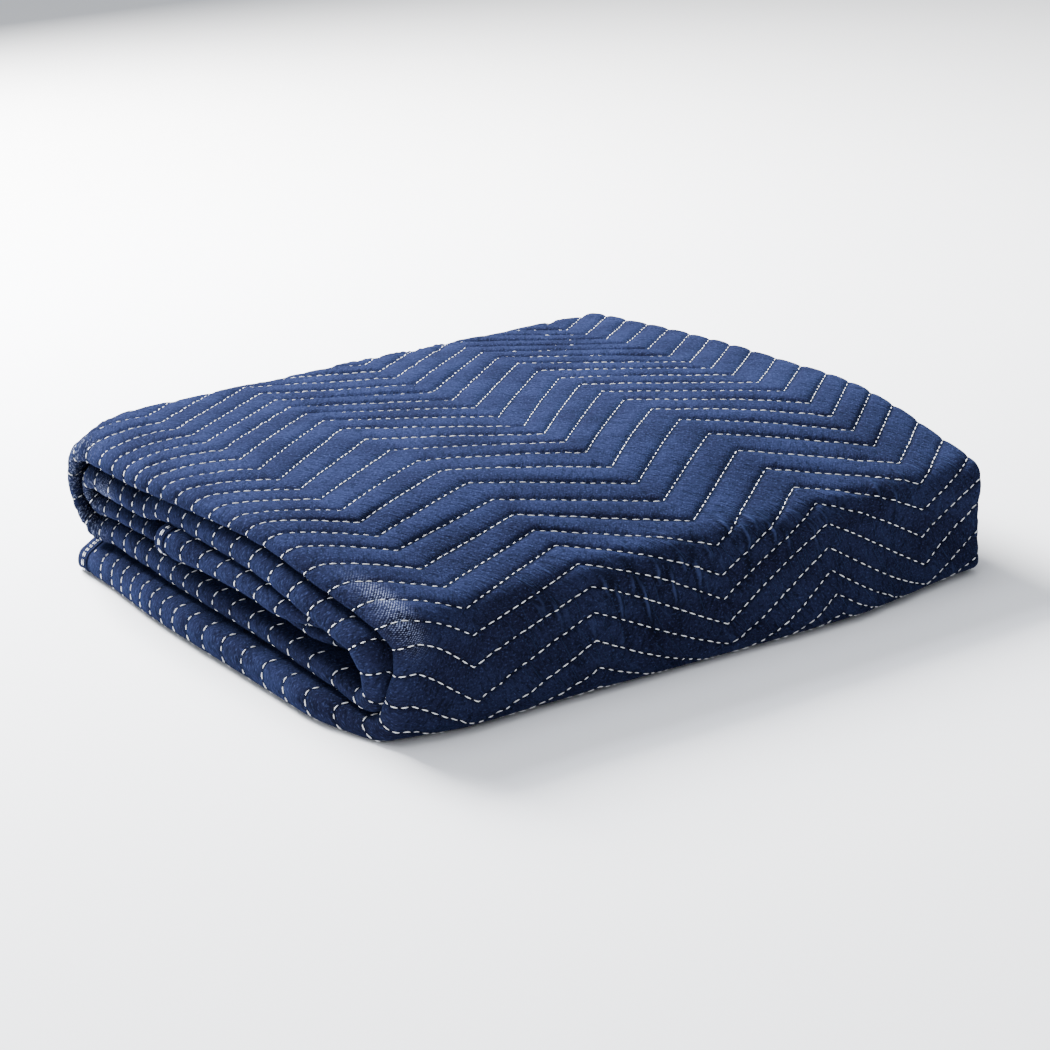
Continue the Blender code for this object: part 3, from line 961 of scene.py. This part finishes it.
def path_object(name, paths):
    """The paths as an object of bare edges, for the node tree to sew along."""
    points = [(x, y, max(z, THREAD_RADIUS)) for path in paths for x, y, z in path]
    edges = []
    start = 0
    for path in paths:
        edges += [(start + i, start + i + 1) for i in range(len(path) - 1)]
        start += len(path)
    data = bpy.data.meshes.new(name)
    data.from_pydata(points, edges, [])
    return add_object(name, data)


OPEN_STRETCH = (FRONT_BEND.start - 0.004, SECOND_START + 0.004)
WHOLE_SHEET = (SEWN_START, LENGTH - SEWN_START)
face_paths = row_paths(NOSE_PATH[0], FOLD_PATH[1], *OPEN_STRETCH)
hidden_rows = [(WHOLE_SHEET[0], OPEN_STRETCH[0]), (OPEN_STRETCH[1], WHOLE_SHEET[1])]
edge_paths = [path for rows in hidden_rows for path in row_paths(*NOSE_PATH, *rows)]
edge_paths += [path for rows in hidden_rows for path in row_paths(*FOLD_PATH, *rows)]
print(len(face_paths), "rows on the face,", len(edge_paths), "pieces of rows on the edges")

# %% [markdown]
# Sewing thousands of stitches by hand would be silly, so a small node tree does it: it walks
# along each path in fine steps, keeps the steps that lie in a stitch and drops those in the
# gap, and sweeps a thin round thread along what is left, thinner at both ends where it dives
# into the cloth. Its inputs are the sizes that a sewing machine is set to.

# %% Build the stitching tree
STEPS_PER_STITCH = 6
THREAD_SIDES = 5
STITCHES_PER_ROW = 200
STITCH_SEED = 7
UNEVEN_LENGTHS = (0.84, 1.08)
THREAD_ENDS = 0.45
THREAD_FULLNESS = 0.7


def fill_inputs(node, values):
    """Link each input that is given a socket, and set each that is given a value."""
    for key, value in values.items():
        if isinstance(value, bpy.types.NodeSocket):
            node.id_data.links.new(value, node.inputs[key])
        else:
            node.inputs[key].default_value = value


def add_node(tree, kind, *values, output=0, **settings):
    """Add a node, set its properties, fill its inputs, and give one of its outputs.

    The inputs come in their order, or in a dictionary by name or number. A kind in capitals
    is the operation of a Math node.
    """
    if kind.isupper():
        kind, settings["operation"] = "ShaderNodeMath", kind
    node = tree.nodes.new(kind)
    for key, value in settings.items():
        setattr(node, key, value)
    by_name = values and isinstance(values[0], dict)
    fill_inputs(node, values[0] if by_name else dict(enumerate(values)))
    return node.outputs[output]


def stitching_tree():
    """Paths in, threads out: pitch, length and radius are the tree's named inputs."""
    tree = bpy.data.node_groups.new("stitching", "GeometryNodeTree")
    add = partial(add_node, tree)
    sizes = ("Stitch Pitch", "Stitch Length", "Thread Radius")
    sockets = {"Paths": "Geometry", **dict.fromkeys(sizes, "Float"), "Thread": "Material"}
    for name, kind in sockets.items():
        tree.interface.new_socket(name, in_out="INPUT", socket_type="NodeSocket" + kind)
    tree.interface.new_socket("Stitches", in_out="OUTPUT", socket_type="NodeSocketGeometry")
    inputs = tree.nodes.new("NodeGroupInput").outputs
    pitch = inputs["Stitch Pitch"]
    step = add("DIVIDE", pitch, STEPS_PER_STITCH)
    curve = add("GeometryNodeMeshToCurve", inputs["Paths"])
    links = {"Curve": curve, "Length": step}
    fine = add("GeometryNodeResampleCurve", links, mode="LENGTH")
    along = add("GeometryNodeSplineParameter", output="Length")
    row = add("GeometryNodeCurveOfPoint", output="Curve Index")
    count = add("DIVIDE", along, pitch)
    index = add("FLOOR", add("ADD", count, 0.01))
    within = add("SUBTRACT", count, index)
    which = add("MULTIPLY_ADD", row, STITCHES_PER_ROW, index)
    links = {2: UNEVEN_LENGTHS[0], 3: UNEVEN_LENGTHS[1], "ID": which, "Seed": STITCH_SEED}
    uneven = add("FunctionNodeRandomValue", links, output=1, data_type="FLOAT")
    share = add("DIVIDE", inputs["Stitch Length"], pitch)
    in_gap = add("GREATER_THAN", within, add("MULTIPLY", share, uneven))
    links = {"Geometry": fine, "Name": "in_gap", "Value": in_gap}
    kind = "GeometryNodeStoreNamedAttribute"
    noted = add(kind, links, data_type="FLOAT", domain="POINT")
    wire = add("GeometryNodeCurveToMesh", {"Curve": noted})
    links = {"Name": "in_gap"}
    gap = add("GeometryNodeInputNamedAttribute", links, data_type="FLOAT")
    links = {"Geometry": wire, "Selection": add("GREATER_THAN", gap, 0.5)}
    cut = add("GeometryNodeDeleteGeometry", links, domain="POINT")
    pieces = add("GeometryNodeMeshToCurve", cut)
    factor = add("GeometryNodeSplineParameter", output="Factor")
    arch = add("SINE", add("MULTIPLY", factor, math.pi))
    width = add("ADD", add("POWER", arch, 0.5), THREAD_ENDS)
    radius = add("MULTIPLY", width, THREAD_FULLNESS)
    links = {"Curve": pieces, "Radius": radius}
    shaped = add("GeometryNodeSetCurveRadius", links)
    links = {"Resolution": THREAD_SIDES, "Radius": inputs["Thread Radius"]}
    profile = add("GeometryNodeCurvePrimitiveCircle", links, mode="RADIUS")
    links = {"Curve": shaped, "Profile Curve": profile, "Scale": radius, "Fill Caps": True}
    swept = add("GeometryNodeCurveToMesh", links)
    soft = add("GeometryNodeSetShadeSmooth", swept)
    real = add("GeometryNodeRealizeInstances", soft)
    links = {"Geometry": real, "Material": inputs["Thread"]}
    finished = add("GeometryNodeSetMaterial", links)
    tree.links.new(finished, tree.nodes.new("NodeGroupOutput").inputs[0])
    return tree


stitching = stitching_tree()
print("stitching tree has", len(stitching.nodes), "nodes")

# %% [markdown]
# Finishes. The faces are woven polyester, dyed navy and calendered. The cloth is matt, with
# painted shade in its grooves, its dips and beside its tucks, a soft blue bloom where it is seen
# at a low angle, and painted glints, thread by thread, where it is drawn tight over a corner or
# crushed at a back bend; its tucks get a painted highlight. The thread is bright white spun
# polyester.

# %% Helpers for the finishes
def linear(hex_colour):
    """A colour given as sRGB hex, turned to the linear values that Blender works in."""
    channels = [int(hex_colour[i : i + 2], 16) / 255 for i in (1, 3, 5)]
    turned = (c / 12.92 if c <= 0.04045 else ((c + 0.055) / 1.055) ** 2.4 for c in channels)
    return (*turned, 1.0)


def new_material(name):
    """A material with its own tree, what adds a node to the tree, and its shader."""
    made = bpy.data.materials.new(name)
    made.use_nodes = True
    tree = made.node_tree
    return made, partial(add_node, tree), tree.nodes["Principled BSDF"]


def blend(add, colour, *layers):
    """The colour with each layer's own colour laid over it, by the layer's amount."""
    for amount, over in layers:
        links = {0: amount, 6: colour, 7: linear(over)}
        colour = add("ShaderNodeMix", links, output=2, data_type="RGBA")
    return colour

# %% [markdown]
# The weave of the real cloth has about 13 threads to the centimetre, finer than a pixel of
# the render, so its threads are drawn at twice their width. A Mapping node of the Texture
# kind turns a pattern on the cloth and takes its size in metres, so each size below is the
# real one. Three kinds of fine crease are bump, because they are a few tenths of a
# millimetre high: puckers 3 mm apart that run square to the rows, narrow tucks on the front
# bend from one row to the next, and the crushed creases at the two back bends. They are also
# painted: shade in the puckers' dips, a highlight on the tucks and glints on the crushed
# creases. The tucks that are placed one by one are drawn again for each pixel, with sharper
# crests than the mesh, a painted highlight on the crests and painted shade beside them.

# %% Patterns on the cloth
def pattern(add, spot, size, detail=3.0, roughness=0.55, turn=0.0):
    """Noise on the cloth with lumps of this size in metres, turned by an angle."""
    links = {"Vector": spot, "Rotation": (0.0, 0.0, turn), "Scale": (*size, 1.0)[:3]}
    where = add("ShaderNodeMapping", links, vector_type="TEXTURE")
    links = {"Vector": where, "Scale": 1.0, "Detail": detail, "Roughness": roughness}
    return add("ShaderNodeTexNoise", links, output="Fac")


def mask(add, value, low, high, amount=1.0):
    """0 on the side of low, the amount on the side of high, and a smooth rise between."""
    links = {"Value": value, "From Min": low, "From Max": high}
    share = add("ShaderNodeMapRange", links, interpolation_type="SMOOTHSTEP")
    return add("MULTIPLY", share, amount)


def ridges(add, value, width, amount):
    """Narrow crests where a noise passes its middle value."""
    off = add("ABSOLUTE", add("SUBTRACT", value, 0.5))
    return mask(add, off, width, 0.0, amount)


def bumps(add, strength, *heights):
    """The shader's normal from pairs of a pattern and its height in metres."""
    height = 0.0
    for value, metres in heights:
        height = add("MULTIPLY_ADD", value, metres, height)
    links = {"Height": height, "Strength": strength, "Distance": 1.0}
    return add("ShaderNodeBump", links)

# %% Navy woven polyester
# The deepest navy is also the painted shade in the grooves, the dips and beside the tucks; the
# lint colour is also the painted highlight on the tucks; the palest blue-grey is the painted
# glint.
NAVY_DEEP = "#090a11"
NAVY = "#17182b"
NAVY_FADED = "#232844"
LINT_AND_HIGHLIGHT = "#3f4a74"
PAINTED_GLINT = "#8c96b6"
SHEEN_BLUE = "#6480c0"
THREAD_PITCH = 0.0027
CHANNEL_SHIFT = 2.7
ROW_SLANT = math.radians(31)
TUCK_SLANT = math.radians(19)
PUCKER_SIZE = (0.0032, 0.012)
TUCK_SIZE = (0.0070, 0.060)
CREASE_SIZE = (0.012, 0.0055)
CREST_WIDTH = 0.0020
DIP_BASE = math.exp(-1 / 5)
TALLEST_TUCK = 0.0023
TUCK_WOBBLE = 0.003


def fine_creases(add, spot, slant, seam, crush, full):
    """The puckers, the tucks and the crushed creases, each 0 to 1."""
    rising = pattern(add, spot, PUCKER_SIZE, turn=ROW_SLANT)
    falling = pattern(add, spot, PUCKER_SIZE, turn=-ROW_SLANT)
    puckers = add("ShaderNodeMix", {0: slant, 2: falling, 3: rising})
    folds = pattern(add, spot, TUCK_SIZE, 0.0, turn=TUCK_SLANT)
    patches = mask(add, pattern(add, spot, (0.030, 0.04), 1.0), 0.36, 0.58, full)
    tucks = ridges(add, folds, 0.055, add("MULTIPLY", patches, add("SUBTRACT", 1.0, seam)))
    return puckers, tucks, ridges(add, pattern(add, spot, CREASE_SIZE, 4.0, 0.65), 0.075, crush)


def placed_tucks(add, u, s):
    """The front's tucks again, for every pixel: their sharp crests, for bump and a painted
    highlight, and the painted shade beside them.
    """
    crests = dips = 0.0
    for tuck_u, tuck_s, reach, lean, stands in FRONT_TUCKS:
        up = add("MULTIPLY_ADD", s, 1 / reach, -(TOP_START + tuck_s) / reach)
        aside = add("MULTIPLY_ADD", u, 1 / CREST_WIDTH, -tuck_u / CREST_WIDTH)
        aside = add("MULTIPLY_ADD", up, lean * reach / CREST_WIDTH, aside)
        apart = add("MULTIPLY_ADD", up, up, add("MULTIPLY", aside, aside))
        crest, dip = (add("POWER", base, apart) for base in (1 / math.e, DIP_BASE))
        crests = add("MULTIPLY_ADD", crest, stands / TALLEST_TUCK, crests)
        dips = add("MULTIPLY_ADD", dip, stands / TALLEST_TUCK, dips)
    return crests, add("SUBTRACT", dips, crests)


def woven(name, faded):
    """Woven navy cloth, with its puckers, its bloom, its painted shade and its painted highlights
    and glints. faded is how far the puffs fade with wear.
    """
    made, add, shader = new_material(name)
    u, s, seam, channel, slant, stretch, crush, full = (
        add("ShaderNodeAttribute", output="Fac", attribute_name=note) for note in NOTE_NAMES
    )
    layer = add("MULTIPLY", channel, CHANNEL_SHIFT)
    spot = add("ShaderNodeCombineXYZ", u, s, layer)
    flat_spot = add("ShaderNodeCombineXYZ", u, s)
    puckers, tucks, creases = fine_creases(add, spot, slant, seam, crush, full)
    warp, weft = (add("SINE", add("MULTIPLY", way, 2 * math.pi / THREAD_PITCH)) for way in (u, s))
    weave = add("MULTIPLY", warp, weft)
    mottle = pattern(add, flat_spot, (0.0026, 0.0026), 3.0, 0.7)
    wear = pattern(add, flat_spot, (0.07, 0.05), 4.0)
    fleck = pattern(add, flat_spot, (0.0021, 0.0021), 2.0)
    wobble = pattern(add, flat_spot, (0.012, 0.012), 2.0)
    wobbled_u = add("MULTIPLY_ADD", wobble, TUCK_WOBBLE, u)
    crests, beside = placed_tucks(add, add("SUBTRACT", wobbled_u, TUCK_WOBBLE / 2), s)

    bloom = mask(add, wear, 0.3, 0.7, faded)
    # Darker navy in a random mottle, and painted shade in the grooves beside each stitched row.
    mottle_and_groove_shade = mask(add, mottle, 0.60, 0.38, 0.5)
    mottle_and_groove_shade = add("MAXIMUM", mottle_and_groove_shade, add("MULTIPLY", seam, 0.85))
    # Painted shade in the dips of the puckers.
    dips = mask(add, puckers, 0.50, 0.34, 0.55)
    # Painted shade beside the crests of the front's listed tucks.
    shade = mask(add, beside, 0.10, 0.75, 0.85)
    # Lighter lint in random flecks, and a painted highlight on the tucks' crests.
    lint_and_highlight = mask(add, fleck, 0.52, 0.74, 0.38)
    lint_and_highlight = add("MAXIMUM", lint_and_highlight, mask(add, crests, 0.25, 1.0, 0.42))
    lint_and_highlight = add("MAXIMUM", lint_and_highlight, add("MULTIPLY", tucks, 0.16))
    # Painted glints, thread by thread, where the cloth is drawn tight and on the crushed creases.
    painted_glints = mask(add, weave, 0.10, 0.45, stretch)
    painted_glints = add("MULTIPLY", painted_glints, mask(add, fleck, 0.36, 0.56))
    painted_crease_glints = add("MULTIPLY", creases, mask(add, fleck, 0.46, 0.60, 0.8))
    painted_glints = add("MAXIMUM", painted_glints, painted_crease_glints)
    dark = [(amount, NAVY_DEEP) for amount in (mottle_and_groove_shade, dips, shade)]
    light = [(lint_and_highlight, LINT_AND_HIGHLIGHT), (painted_glints, PAINTED_GLINT)]
    colour = blend(add, linear(NAVY), (bloom, NAVY_FADED), *dark, *light)

    heights = [(puckers, 0.0013), (tucks, 0.0013), (crests, 0.0012), (creases, 0.0020)]
    heights += [(mottle, 0.0004), (weave, 0.00005)]
    tight = add("MAXIMUM", stretch, creases)
    values = {
        "Base Color": colour,
        "Roughness": add("MULTIPLY_ADD", tight, -0.35, 0.88),
        "Normal": bumps(add, 1.0, *heights),
        "Specular IOR Level": 0.0,
        "Sheen Weight": 0.10,
        "Sheen Roughness": 0.45,
        "Sheen Tint": linear(SHEEN_BLUE),
    }
    fill_inputs(shader, values)
    return made


cloth_finish = woven("navy woven polyester", 0.9)
tape_finish = woven("navy woven binding tape", 0.5)
cloth.data.materials.append(cloth_finish)
for tape in (outer_binding, inner_binding):
    tape.data.materials.append(tape_finish)
print("cloth finish has", len(cloth_finish.node_tree.nodes), "nodes")

# %% White spun polyester thread
THREAD_WHITE = "#ffffff"
THREAD_GREY = "#f0f3fa"
DIRT_SIZE = 1 / 60
TWIST_SIZE = 1 / 1500


def spun_thread():
    """Bright white thread, a little greyer where it is dirty, with its twist as bump."""
    made, add, shader = new_material("white spun polyester thread")
    where = add("ShaderNodeTexCoord", output="Object")
    dirt, twist = (
        pattern(add, where, (size, size, size), detail)
        for size, detail in ((DIRT_SIZE, 3.0), (TWIST_SIZE, 1.0))
    )
    values = {
        "Base Color": blend(add, linear(THREAD_WHITE), (dirt, THREAD_GREY)),
        "Roughness": 0.55,
        "Normal": bumps(add, 0.6, (twist, 0.0003)),
        "Sheen Weight": 0.2,
    }
    fill_inputs(shader, values)
    return made


thread_finish = spun_thread()

# %% [markdown]
# Now the tree sews. The modifier's inputs are set by their identifiers before the object is
# first evaluated, the result is turned into a plain mesh, and the paths are thrown away.

# %% Sew the stitches
STITCH_PITCH = 0.0084
STITCH_LENGTH = 0.0064


def sew(name, paths):
    """Run the stitching tree over the paths, and keep its result as a plain mesh."""
    wire = path_object(name + "_paths", paths)
    modifier = wire.modifiers.new("stitching", "NODES")
    modifier.node_group = stitching
    settings = {
        "Stitch Pitch": STITCH_PITCH,
        "Stitch Length": STITCH_LENGTH,
        "Thread Radius": THREAD_RADIUS,
        "Thread": thread_finish,
    }
    for socket in stitching.interface.items_tree:
        if socket.name in settings:
            modifier[socket.identifier] = settings[socket.name]
    wire.data.update()
    depsgraph = bpy.context.evaluated_depsgraph_get()
    data = bpy.data.meshes.new_from_object(wire.evaluated_get(depsgraph))
    data.name = name
    data.shade_smooth()
    bpy.data.objects.remove(wire, do_unlink=True)
    print(name, triangle_count(data), "triangles")
    return add_object(name, data, thread_finish)


sewn = {"stitches_face": face_paths, "stitches_edges": edge_paths, "stitches_ends": end_paths()}
stitches = [sew(name, paths) for name, paths in sewn.items()]

# %% [markdown]
# Every piece rides on the one body. The sheet and the bindings stand for the CAD model's
# nodes, which stay in the scene, hidden. The real sheet is folded cloth, cut to 1.8 by 3.4 m.

# %% Attach the pieces and hide the CAD nodes
for piece in (cloth, outer_binding, inner_binding, *stitches):
    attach(piece, "root")
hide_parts("blanket")
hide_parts("binding_outer_end")
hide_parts("binding_inner_end")

# %% [markdown]
# The photograph has a white ground and light from behind and above: each puff's far slope is
# bright and the slope toward the camera is dim, and the front is far darker than the top. A
# big soft lamp behind the stack does that, a closer one makes its near back corner the
# brightest, a weak one above fills in, and another rakes over the front's tucks from the
# left. The sky and the pale floor light the noses.

# %% Floor and lights
FLOOR_SIZE = 12.0
FLOOR_WHITE, FLOOR_GREY = "#f4f5f7", "#eceef1"
SKY, SKY_STRENGTH = "#f3f6fb", 0.72
AIM = Vector((0.0, 0.0, 0.06))
LAMPS = (
    # name, place, size in metres, watts and colour
    ("key behind", (-0.15, 3.1, 1.8), 1.4, 780, "#fffdfa"),
    ("near back", (-0.24, 1.45, 1.25), 0.8, 105, "#f4f7ff"),
    ("top fill", (-0.2, 0.3, 2.8), 2.4, 60, "#f4f7ff"),
    ("left rake", (-2.6, -1.0, 0.75), 0.35, 14, "#fbfcff"),
)


def floor_finish():
    """Matt white card: the faintest clouds of grey keep it from looking like nothing."""
    made, add, shader = new_material("pale studio floor")
    where = add("ShaderNodeTexCoord", output="Object")
    clouds = pattern(add, where, (1.0, 1.0))
    colour = blend(add, linear(FLOOR_WHITE), (clouds, FLOOR_GREY))
    fill_inputs(shader, {"Base Color": colour, "Roughness": 0.9})
    return made


half = FLOOR_SIZE / 2
corners = [(-half, -half, 0), (half, -half, 0), (half, half, 0), (-half, half, 0)]
floor_data = bpy.data.meshes.new("floor")
floor_data.from_pydata(corners, [], [(0, 1, 2, 3)])
floor = add_object("floor", floor_data, floor_finish())
for name, spot, size, watts, colour in LAMPS:
    lamp = bpy.data.lights.new(name, "AREA")
    lamp.size, lamp.energy, lamp.color = size, watts, linear(colour)[:3]
    lit = bpy.data.objects.new(name, lamp)
    lit.location = spot
    lit.rotation_euler = (AIM - Vector(spot)).to_track_quat("-Z", "Y").to_euler()
    scene.collection.objects.link(lit)
world = bpy.data.worlds.new("studio")
scene.world = world
world.use_nodes = True
background = world.node_tree.nodes["Background"]
fill_inputs(background, {"Color": linear(SKY), "Strength": SKY_STRENGTH})
